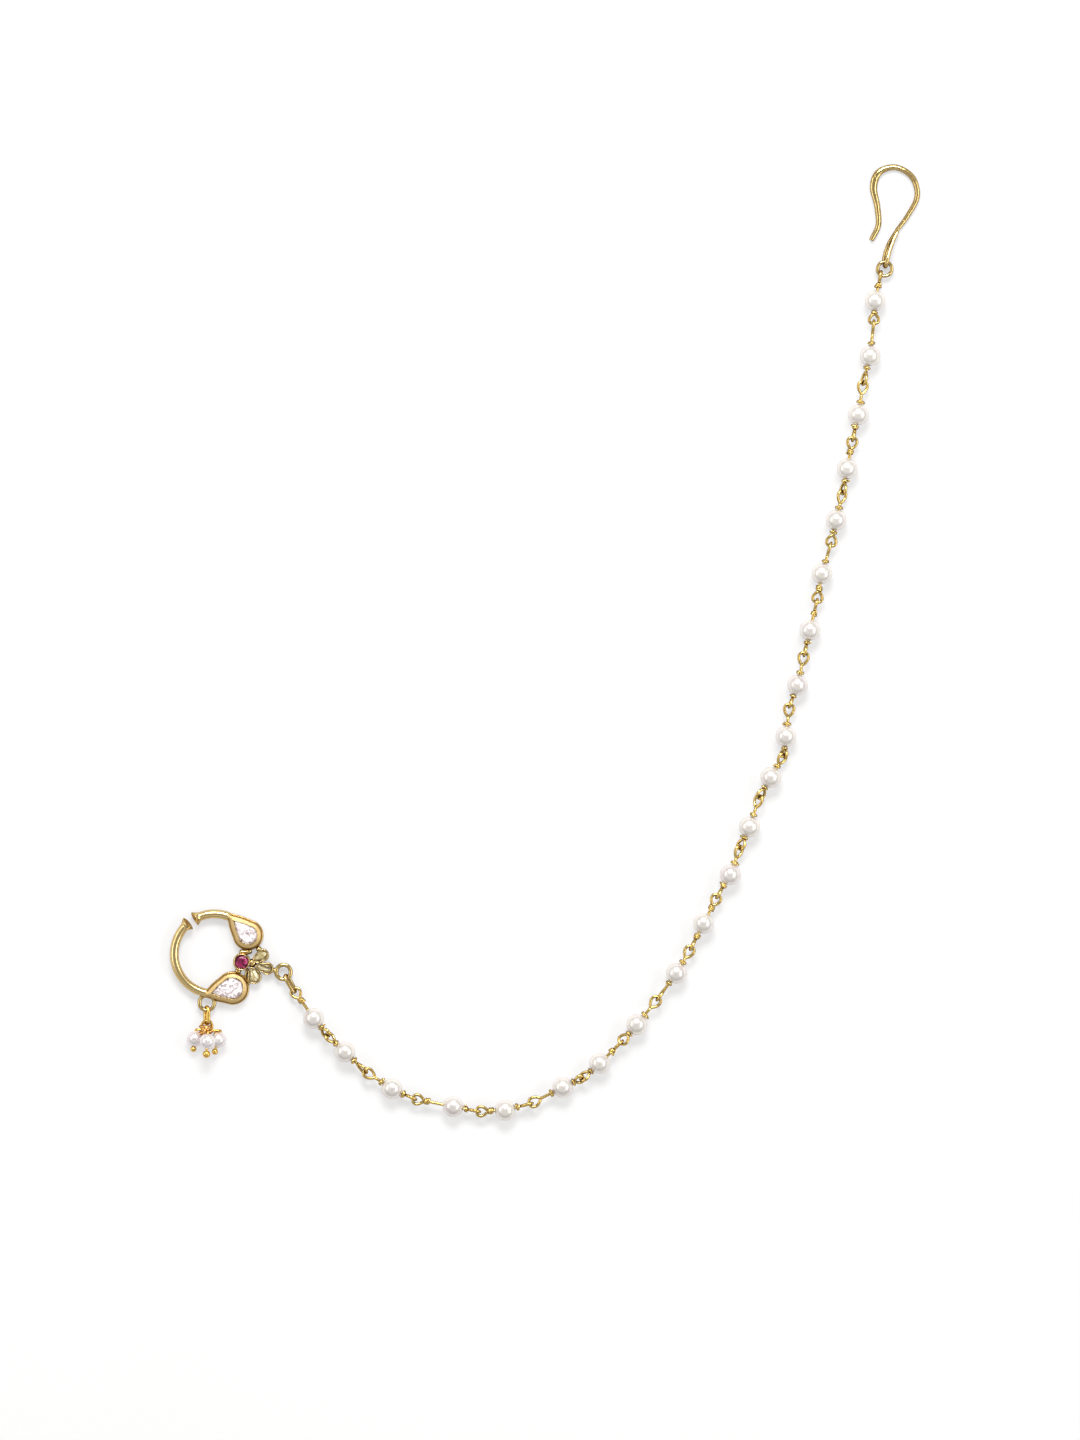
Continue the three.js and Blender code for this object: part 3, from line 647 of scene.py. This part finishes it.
def wireRing(ring, height):
    # A level circle whose wire thickens into a bead of solder at its seam, as a bell curve of the angle.
    angle = np.linspace(0, 360, 72, endpoint=False)
    circle = ring["middle"] + ring["radius"] * onCircle(np.radians(angle))
    away = (angle - ring["seam"] + 180) % 360 - 180
    thickness = 1 + seamBead["swell"] * np.exp(-(away / seamBead["reach"]) ** 2)
    return tube(raised(circle, height), ring["wire"] * thickness, closed=True)


def ovalLink(oval):
    # An upright oval with full shoulders, leaned about its length and turned to its angle on the table.
    turn = np.linspace(0, 2 * np.pi, 72, endpoint=False)

    def bulge(value):
        return np.sign(value) * np.abs(value) ** ovalShoulder

    along = oval["halfLength"] * bulge(np.cos(turn))
    high = oval["halfHeight"] * bulge(np.sin(turn))
    lean, angle = math.radians(oval["lean"]), math.radians(oval["angle"])
    aside = -high * math.sin(lean)
    path = np.stack([along * math.cos(angle) - aside * math.sin(angle),
                     along * math.sin(angle) + aside * math.cos(angle), high * math.cos(lean)], axis=1)
    square = np.array([-math.sin(angle) * math.cos(lean), math.cos(angle) * math.cos(lean), math.sin(lean)])
    return tube(path + (*oval["middle"], carrierHeight), oval["wire"], square, closed=True)


framePiece("chainCarrierRing", [wireRing(rings["chainCarrierRing"], carrierHeight)], wireSkin)
framePiece("dropCarrierRing", [wireRing(rings["dropCarrierRing"], carrierHeight)], wireSkin)
makePiece("chainOvalLink", [ovalLink(chainOval)], wireSkin, ["chain_oval_link"])
makePiece("hookRing", [wireRing(rings["hookRing"], hookRingHeight)], wireSkin,
          ["hook_ring"])
makePiece("dropOvalLink", [ovalLink(dropOval)], warmSkin, ["drop_oval_link"])
makePiece("dropRing", [wireRing(rings["dropRing"], carrierHeight)], warmSkin,
          ["drop_ring"])
print("rings and ovals made")


pearl = {"radius": 2.0, "hole": 0.34}
# What every pearl shares: how deep its hole's edge is, the wall's share of the hole, and how uneven it is.
drilling = {"edge": 0.12, "wall": 0.8}
uneven = {"oval": 0.006, "lobed": 0.004}
# A link's wire. eyeReach: how far an eye goes past its joint. gap: room between a pearl and its neck.
# bareWire: left under an eye whose turns are pushed against the pearl. stemStart: from the pearl's middle to
# the wire's start.
linkWire = {
    "radius": 0.285, "eyeLength": 2.15, "eyeHalfWidth": 0.88, "eyeFullness": 1.24, "eyePoint": 0.7,
    "eyeReach": 0.29, "shortestNeck": 0.5, "longestEye": 2.4, "gap": 0.03, "bareWire": 0.3, "stemStart": 0.8,
}
# A neck's turns. pitch: in winding radii. swell, waves: how much and how fast the coil's width varies.
# liftFrom: the share of the way where its cut end starts to lift.
turning = {"pitch": 1.9, "fewest": 1.2, "swell": 0.12, "waves": 2.3, "liftFrom": 0.86, "lift": 0.34}

# Two ways a neck is wound: a slim stack under the eye, and a few wide turns pushed up against the pearl.
necks = (
    {"winding": 0.21, "coil": 0.43, "length": 1.2, "atPearl": False},
    {"winding": 0.24, "coil": 0.48, "length": 0.75, "atPearl": True},
)

# A row for each link, from the nose ring on. firstArm, aside: its pearl, along and to the left of the way
# from the joint behind. x, y, z: the joint ahead. ownTurn, nextTurn: how far the two eyes there lean out of
# the flat.
linkColumns = ("firstArm", "aside", "x", "y", "z", "ownTurn", "nextTurn")
firstJoint = {"x": 15.15, "y": -6.9, "z": 1.15, "nextTurn": 0}
linkRows = [
    (6.5, -0.2, 21.5, -15.4, 2.2, 50, 45), (4.6, 0.0, 28.7, -22.3, 2.0, 65, 15),
    (6.0, -0.4, 38.0, -27.5, 2.0, 85, 0), (7.5, 0.0, 50.1, -29.9, 2.0, 85, 0),
    (5.1, -0.5, 60.1, -28.4, 2.0, 85, 0), (6.8, 0.1, 69.8, -23.6, 2.0, 45, 45),
    (4.4, -0.2, 77.3, -16.7, 2.0, 85, 20), (4.4, -0.1, 84.2, -8.5, 2.0, 0, 85),
    (6.0, -0.3, 90.5, 1.1, 2.0, 0, 85), (5.3, 0.0, 95.5, 10.9, 2.0, 0, 85),
    (4.8, -0.5, 99.8, 20.2, 2.0, 45, 45), (4.3, -0.3, 103.5, 29.8, 2.0, -40, -45),
    (4.3, 0.0, 108.1, 37.7, 2.0, 40, 50), (3.6, 0.0, 109.2, 47.1, 2.0, 0, 85),
    (4.2, -0.4, 112.0, 56.9, 2.0, 0, 85), (4.7, 0.0, 114.4, 67.0, 2.0, 90, 0),
    (5.3, 0.3, 117.0, 77.7, 2.0, 90, 0), (4.8, 0.0, 119.3, 87.6, 2.0, 35, 60),
    (4.6, 0.0, 121.2, 97.7, 2.0, 0, 85), (4.8, -0.2, 123.2, 108.4, 2.0, 15, 65),
    (5.3, -0.4, 125.2, 119.9, 2.1, 90, 0), (4.1, 0.35, 126.6, 129.27, 1.22, 85, 0),
]


def pearlBall(shape, axis, centre, phase=0.0):
    # An arc from one drill hole to the other, spun round the thread, closed by the hole's wall.
    edge = math.asin(shape["hole"] / shape["radius"])
    angle = np.linspace(-np.pi / 2 + edge, np.pi / 2 - edge, 40)
    rim = shape["radius"] * math.cos(edge) - drilling["edge"]
    bore = shape["hole"] * drilling["wall"]
    wall = [(bore, rim), (bore, 0.0), (bore, -rim)]
    radius, along = np.vstack([shape["radius"] * onCircle(angle), wall]).T
    axis = unit(axis)
    side = unit(np.cross(axis, up))
    rise = np.cross(axis, side)
    around = np.linspace(0, 2 * np.pi, 56, endpoint=False)[None, :, None]
    lobes = np.sin(3 * around + 2 * phase + along[:, None, None])
    swell = 1 + uneven["oval"] * np.sin(2 * around + phase) + uneven["lobed"] * lobes
    ring = radius[:, None, None] * swell * (np.cos(around) * side + np.sin(around) * rise)
    return patch(np.asarray(centre) + along[:, None, None] * axis + ring, closedRows=True)


def linkArm(centre, joint, turn, tail, neck):
    # Wire from inside the pearl, a neck wound round it as a helix that lifts away at its cut end, and a
    # drop-shaped eye whose width goes as the sine times a power of the half-angle's sine.
    wire, winding = linkWire["radius"], neck["winding"]
    direction = unit(joint - centre)
    reach = np.linalg.norm(joint - centre) + linkWire["eyeReach"]
    eyeLength = min(linkWire["eyeLength"], reach - pearl["radius"] - linkWire["shortestNeck"])
    nearest = pearl["radius"] + linkWire["gap"]
    if neck["atPearl"]:
        spare = reach - nearest - neck["length"] - linkWire["bareWire"]
        eyeLength = max(eyeLength, min(linkWire["longestEye"], spare))
    neckEnd = reach - eyeLength
    coilEnd = min(neckEnd, nearest + neck["length"]) if neck["atPearl"] else neckEnd
    neckStart = max(nearest, coilEnd - neck["length"])
    level = unit(np.cross(up, direction))
    lift = np.cross(direction, level)
    turn = math.radians(turn)
    side = level * math.cos(turn) + lift * math.sin(turn)

    steps = np.linspace(linkWire["stemStart"], neckEnd + 0.1, 6)[:, None]
    stem = tube(centre + steps * direction, wire, level, 12)

    sweep = np.linspace(0, 2 * np.pi, 56, endpoint=False)[:, None]
    along = neckEnd + eyeLength * (1 - np.cos(sweep)) / 2
    width = linkWire["eyeFullness"] * linkWire["eyeHalfWidth"]
    across = width * np.sin(sweep) * np.abs(np.sin(sweep / 2)) ** linkWire["eyePoint"]
    eye = tube(centre + along * direction + across * side, wire, np.cross(direction, side), 14, closed=True)

    room = coilEnd - neckStart - 2 * winding
    turns = max(turning["fewest"], room / (turning["pitch"] * winding)) + tail
    way = np.linspace(0, 1, int(26 * turns))[:, None]
    spin = turn + 2 * np.pi * turns * way
    rising = np.clip((way - turning["liftFrom"]) / (1 - turning["liftFrom"]), 0, 1) ** 2
    coil = neck["coil"] * (1 + turning["swell"] * np.sin(turning["waves"] * spin)) + turning["lift"] * rising
    height = coilEnd - winding - way * room
    outward = np.cos(spin) * side + np.sin(spin) * np.cross(direction, side)
    helix = centre + height * direction + coil * outward
    return [stem, eye, cutTube(helix, winding, direction, 10, 0.05)]


def addPearlChain():
    behind = firstJoint
    for number, row in enumerate(linkRows, 1):
        link = dict(zip(linkColumns, row))
        start, end = (np.array([joint["x"], joint["y"], joint["z"]]) for joint in (behind, link))
        level = unit((end - start) * (1, 1, 0))
        centre = start + link["firstArm"] * level + link["aside"] * np.cross(up, level)
        centre[2] = pearl["radius"]
        ending = "%02d" % number
        makePiece("pearl" + ending, [pearlBall(pearl, end - start, centre, 1.7 * number)], pearlSkin,
                  ["pearl_" + ending])
        # Extra parts of a turn, so that no two neighbours end at the same place round the wire.
        tails = (0.15 + 0.31 * (number % 3), 0.3 + 0.23 * (number % 4))
        arms = linkArm(centre, start, behind["nextTurn"], tails[0], necks[number % 3 == 0])
        arms += linkArm(centre, end, link["ownTurn"], tails[1], necks[number % 3 != 1])
        makePiece("linkWire" + ending, arms, linkSkin, ["link_wire_" + ending])
        behind = link


addPearlChain()
print("pearl chain made")


# The hook's wire. Places along it are counted in points of its route, and thinner and broader are shares.
hook = {
    "wire": 0.54, "broader": 0.34, "broadAt": 3.4, "tipThinner": 0.14, "tipReach": 0.6,
    "endThinner": 0.3, "endFrom": 6.0, "endOver": 3.0,
}
# The folded eye's wire. Places along it are shares of its length.
fold = {"wire": 0.42, "startThinner": 0.2, "startReach": 0.06, "endThinner": 0.3, "endFrom": 0.7}
hookRoute = [(124.8, 135.6), (126.1, 138.4), (125.9, 142.0), (125.2, 145.8), (126.2, 148.4), (129.3, 149.4),
             (132.5, 147.6), (133.5, 144.0), (131.6, 140.1), (129.6, 137.4)]
foldRoute = [(129.9, 137.8, 0.55), (128.3, 135.2, 0.5), (127.55, 133.3, 0.48), (127.25, 131.8, 0.46),
             (127.3, 130.96, 0.58), (127.42, 130.56, 1.24), (127.6, 131.0, 1.86), (127.75, 131.8, 2.06),
             (128.2, 133.4, 1.8), (128.95, 135.5, 1.3), (129.75, 137.1, 0.95)]


def hookWire():
    # Round wire, hammered broader at one place as a bell curve, and drawn thinner at the tip and towards the
    # doubled end.
    route = np.array([(x, y, hook["wire"]) for x, y in hookRoute])
    path = smoothPath(route, 180)
    place = np.linspace(0, len(route) - 1, len(path))
    broad = 1 + hook["broader"] * np.exp(-(place - hook["broadAt"]) ** 2)
    drawn = np.clip((place - hook["endFrom"]) / hook["endOver"], 0, 1) ** 1.5
    thin = 1 - hook["tipThinner"] * np.exp(-place / hook["tipReach"]) - hook["endThinner"] * drawn
    wide = np.concatenate([broad[:1], broad, broad[-1:]])
    return cutTube(path, hook["wire"] * thin, up, 24, 0.1, wide=wide)


def foldWire():
    # Wire doubled back into a narrow eye, drawn thinner at both of its ends.
    way = np.linspace(0, 1, 120)
    drawn = np.clip((way - fold["endFrom"]) / (1 - fold["endFrom"]), 0, 1)
    thin = 1 - fold["startThinner"] * np.exp(-way / fold["startReach"]) - fold["endThinner"] * drawn
    return cutTube(smoothPath(foldRoute, len(way)), fold["wire"] * thin, sideAxis, 20, 0.16)


makePiece("hairHook", [hookWire(), foldWire()], hookSkin, ["hair_hook"])
print("hair hook made")


dropPearl = {"radius": 1.52, "hole": 0.24}
pinWire = 0.235
pinLoop = {"radius": 0.55, "spread": 0.42, "turn": 24.0}
pinBend = 0.3
# The knot over the pins. looseWire, knotWire: shares of the pin's wire. turns: times that each winding goes
# round. windings: how far each leans, how far along it lies, and where round it starts, in radians.
pinKnot = {
    "middle": (-1.6, -14.5, 1.75), "width": 1.15, "height": 0.66, "turns": 2.6, "advance": 0.3,
    "knotWire": 0.9, "looseWire": 0.75, "swell": 0.1, "waves": 1.7, "narrowing": 0.45,
    "windings": [(0.5, 0.3, 0.0), (-0.55, 0.05, 1.3), (0.12, -0.35, 2.6), (-0.2, 0.55, 4.0),
                 (0.9, -0.1, 5.1)],
}
looseEndRoute = [(-0.9, -14.75, 2.1), (-0.35, -14.6, 2.2), (0.1, -14.8, 2.1), (0.5, -14.92, 2.05),
                 (0.85, -14.72, 2.05), (1.1, -14.38, 2.1)]
pins = {
    "Left": {"pearl": (-3.7, -16.1, 1.52), "ball": (-3.95, -18.05, 1.4), "radius": 0.57},
    "Middle": {"pearl": (-1.22, -16.56, 3.9), "ball": (-1.4, -18.95, 3.8), "radius": 0.72},
    "Right": {"pearl": (0.78, -16.3, 1.52), "ball": (0.1, -18.55, 1.4), "radius": 0.6},
}


def headPin(pin):
    # A straight wire from its ball through the pearl, then a curve over to the knot.
    middle, start = np.array(pin["pearl"]), np.array(pin["ball"])
    direction = unit(middle - start)
    leave = middle + direction * (dropPearl["radius"] + 0.1)
    bend = leave + direction * pinBend
    way = np.linspace(0, 1, 24)[:, None]
    straight = start + (leave - start) * way
    curve = (1 - way) ** 2 * leave + 2 * way * (1 - way) * bend + way ** 2 * np.array(pinKnot["middle"])
    wire = tube(np.vstack([straight[:-1], curve]), pinWire, up, 12)
    return [wire, ball(start, pin["radius"], squash=0.94)]


def pinLoops():
    # Three small rings round the drop ring, side by side, each turned a little about the upright.
    ring = rings["dropRing"]
    loops = []
    angle = np.linspace(0, 2 * np.pi, 40, endpoint=False)
    for place in (-1, 0, 1):
        across = pinLoop["spread"] * place
        turn = math.radians(pinLoop["turn"] * place)
        flat = pinLoop["radius"] * np.cos(angle)
        below = math.sqrt(ring["radius"] ** 2 - across ** 2)
        path = np.stack([-flat * math.sin(turn) + ring["middle"][0] + across,
                         flat * math.cos(turn) + ring["middle"][1] - below,
                         pinLoop["radius"] * np.sin(angle) + carrierHeight], axis=1)
        square = np.array([math.cos(turn), math.sin(turn), 0.0])
        loops.append(tube(path, pinWire, square, 12, closed=True))
    return loops


def knotWindings():
    # Windings that cross over the knot, each a flattened spiral tilted its own way that swells and shrinks
    # as it goes, and one loose cut end.
    angle = np.linspace(0, 2 * np.pi * pinKnot["turns"], 110)[:, None]
    way = angle / angle.max() - 0.5
    windings = []
    for lean, shift, start in pinKnot["windings"]:
        swell = 1 + pinKnot["swell"] * np.sin(pinKnot["waves"] * angle + start)
        width = pinKnot["width"] * (1 - pinKnot["narrowing"] * abs(lean))
        across = width * swell * np.cos(angle + start)
        high = pinKnot["height"] * swell * np.sin(angle + start)
        along = shift + pinKnot["advance"] * way + lean * across
        path = pinKnot["middle"] + across * sideAxis + high * up + along * awayAxis
        windings.append(cutTube(path, pinWire * pinKnot["knotWire"], awayAxis, 10, 0.05))
    looseEnd = smoothPath(looseEndRoute, 48)
    windings.append(cutTube(looseEnd, pinWire * pinKnot["looseWire"], up, 10, 0.05))
    return windings


dropMetal = pinLoops()
for pin in pins.values():
    dropMetal += headPin(pin)
makePiece("dropPins", dropMetal, warmSkin, ["drop_pins"])
makePiece("dropTangle", knotWindings(), tangleSkin, ["drop_pins"])
for number, (name, pin) in enumerate(pins.items()):
    axis = np.array(pin["pearl"]) - np.array(pin["ball"])
    makePiece("dropPearl" + name, [pearlBall(dropPearl, axis, pin["pearl"], 2.3 * number)], dropPearlSkin,
              ["drop_pearl_" + name.lower()])
print("pearl drop made")


stage = {
    "floor": 8.0, "gap": 0.00002, "pale": (0.45, 0.448, 0.45), "grey": (0.435, 0.435, 0.435), "glow": 0.51,
    "daylight": 0.64,
}
lights = {
    "topSoftbox": {"place": (0.0, 0.62, 0.78), "size": (0.5, 0.34), "power": 7.5},
    "rightSoftbox": {"place": (0.75, -0.05, 0.62), "size": (0.9, 0.2), "power": 2.6},
    "leftSoftbox": {"place": (-0.8, 0.1, 0.5), "size": (0.8, 0.2), "power": 1.5},
}
# The room's brightness, by the upward part of the direction: 0 level and below, 1 straight overhead.
roomStops = [(0.0, 0.5), (0.25, 0.32), (0.6, 0.8), (0.8, 1.1), (0.93, 0.5), (1.0, 0.45)]
roomTint = (1.0, 0.985, 0.96)
view = {"middle": (-0.97 * mm, -14.77 * mm), "height": 273.6 * mm, "distance": 2.0, "sensor": 36.0}


def addFloor():
    half = stage["floor"] / 2
    corners = [(-half, -half), (half, -half), (half, half), (-half, half)]
    mesh = bpy.data.meshes.new("tableTop")
    mesh.from_pydata([(x, y, -stage["gap"]) for x, y in corners], [], [(0, 1, 2, 3)])
    finish = Finish("tableWhite", Roughness=0.6, Specular_IOR_Level=0.2, Emission_Strength=stage["glow"],
                    Emission_Color=(1.0, 1.0, 1.0, 1.0))
    clouds = finish.noise(finish.place(), 60.0)
    mesh.materials.append(finish.drive(Base_Color=finish.mix(clouds, stage["pale"], stage["grey"])))
    floor = bpy.data.objects.new("tableTop", mesh)
    bpy.context.scene.collection.objects.link(floor)


def addLight(name, light):
    # A rectangle that faces the middle of the piece.
    data = bpy.data.lights.new(name, "AREA")
    data.shape = "RECTANGLE"
    data.size, data.size_y = light["size"]
    data.energy = light["power"]
    lamp = bpy.data.objects.new(name, data)
    lamp.location = light["place"]
    lamp.rotation_euler = (-lamp.location).to_track_quat("-Z", "Y").to_euler()
    bpy.context.scene.collection.objects.link(lamp)


def addSurroundings():
    # A pale room: dimmest a little above the horizon, brightest well up and dimmer again straight overhead,
    # which gives polished metal its darker lines.
    world = bpy.data.worlds.new("paleRoom")
    world.use_nodes = True
    tree = world.node_tree
    direction = tree.nodes.new("ShaderNodeTexCoord")
    split = tree.nodes.new("ShaderNodeSeparateXYZ")
    ramp = tree.nodes.new("ShaderNodeValToRGB")
    elements = ramp.color_ramp.elements
    while len(elements) < len(roomStops):
        elements.new(0.5)
    for element, (position, level) in zip(elements, roomStops):
        element.position = position
        element.color = (*(level * tint for tint in roomTint), 1.0)
    tree.links.new(direction.outputs["Generated"], split.inputs[0])
    tree.links.new(split.outputs["Z"], ramp.inputs["Fac"])
    tree.links.new(ramp.outputs["Color"], tree.nodes["Background"].inputs["Color"])
    tree.nodes["Background"].inputs["Strength"].default_value = stage["daylight"]
    bpy.context.scene.world = world


def addCamera():
    # Straight down from far off, so that the long side of the picture spans view height.
    data = bpy.data.cameras.new("above")
    data.sensor_width = view["sensor"]
    data.lens = view["sensor"] * view["distance"] / view["height"]
    data.clip_start, data.clip_end = 0.1, 20.0
    camera = bpy.data.objects.new("above", data)
    camera.location = (*view["middle"], view["distance"])
    bpy.context.scene.collection.objects.link(camera)
    bpy.context.scene.camera = camera


addFloor()
for name, light in lights.items():
    addLight(name, light)
addSurroundings()
addCamera()
bpy.context.scene.view_settings.view_transform = "Standard"
print("table, light and camera made")
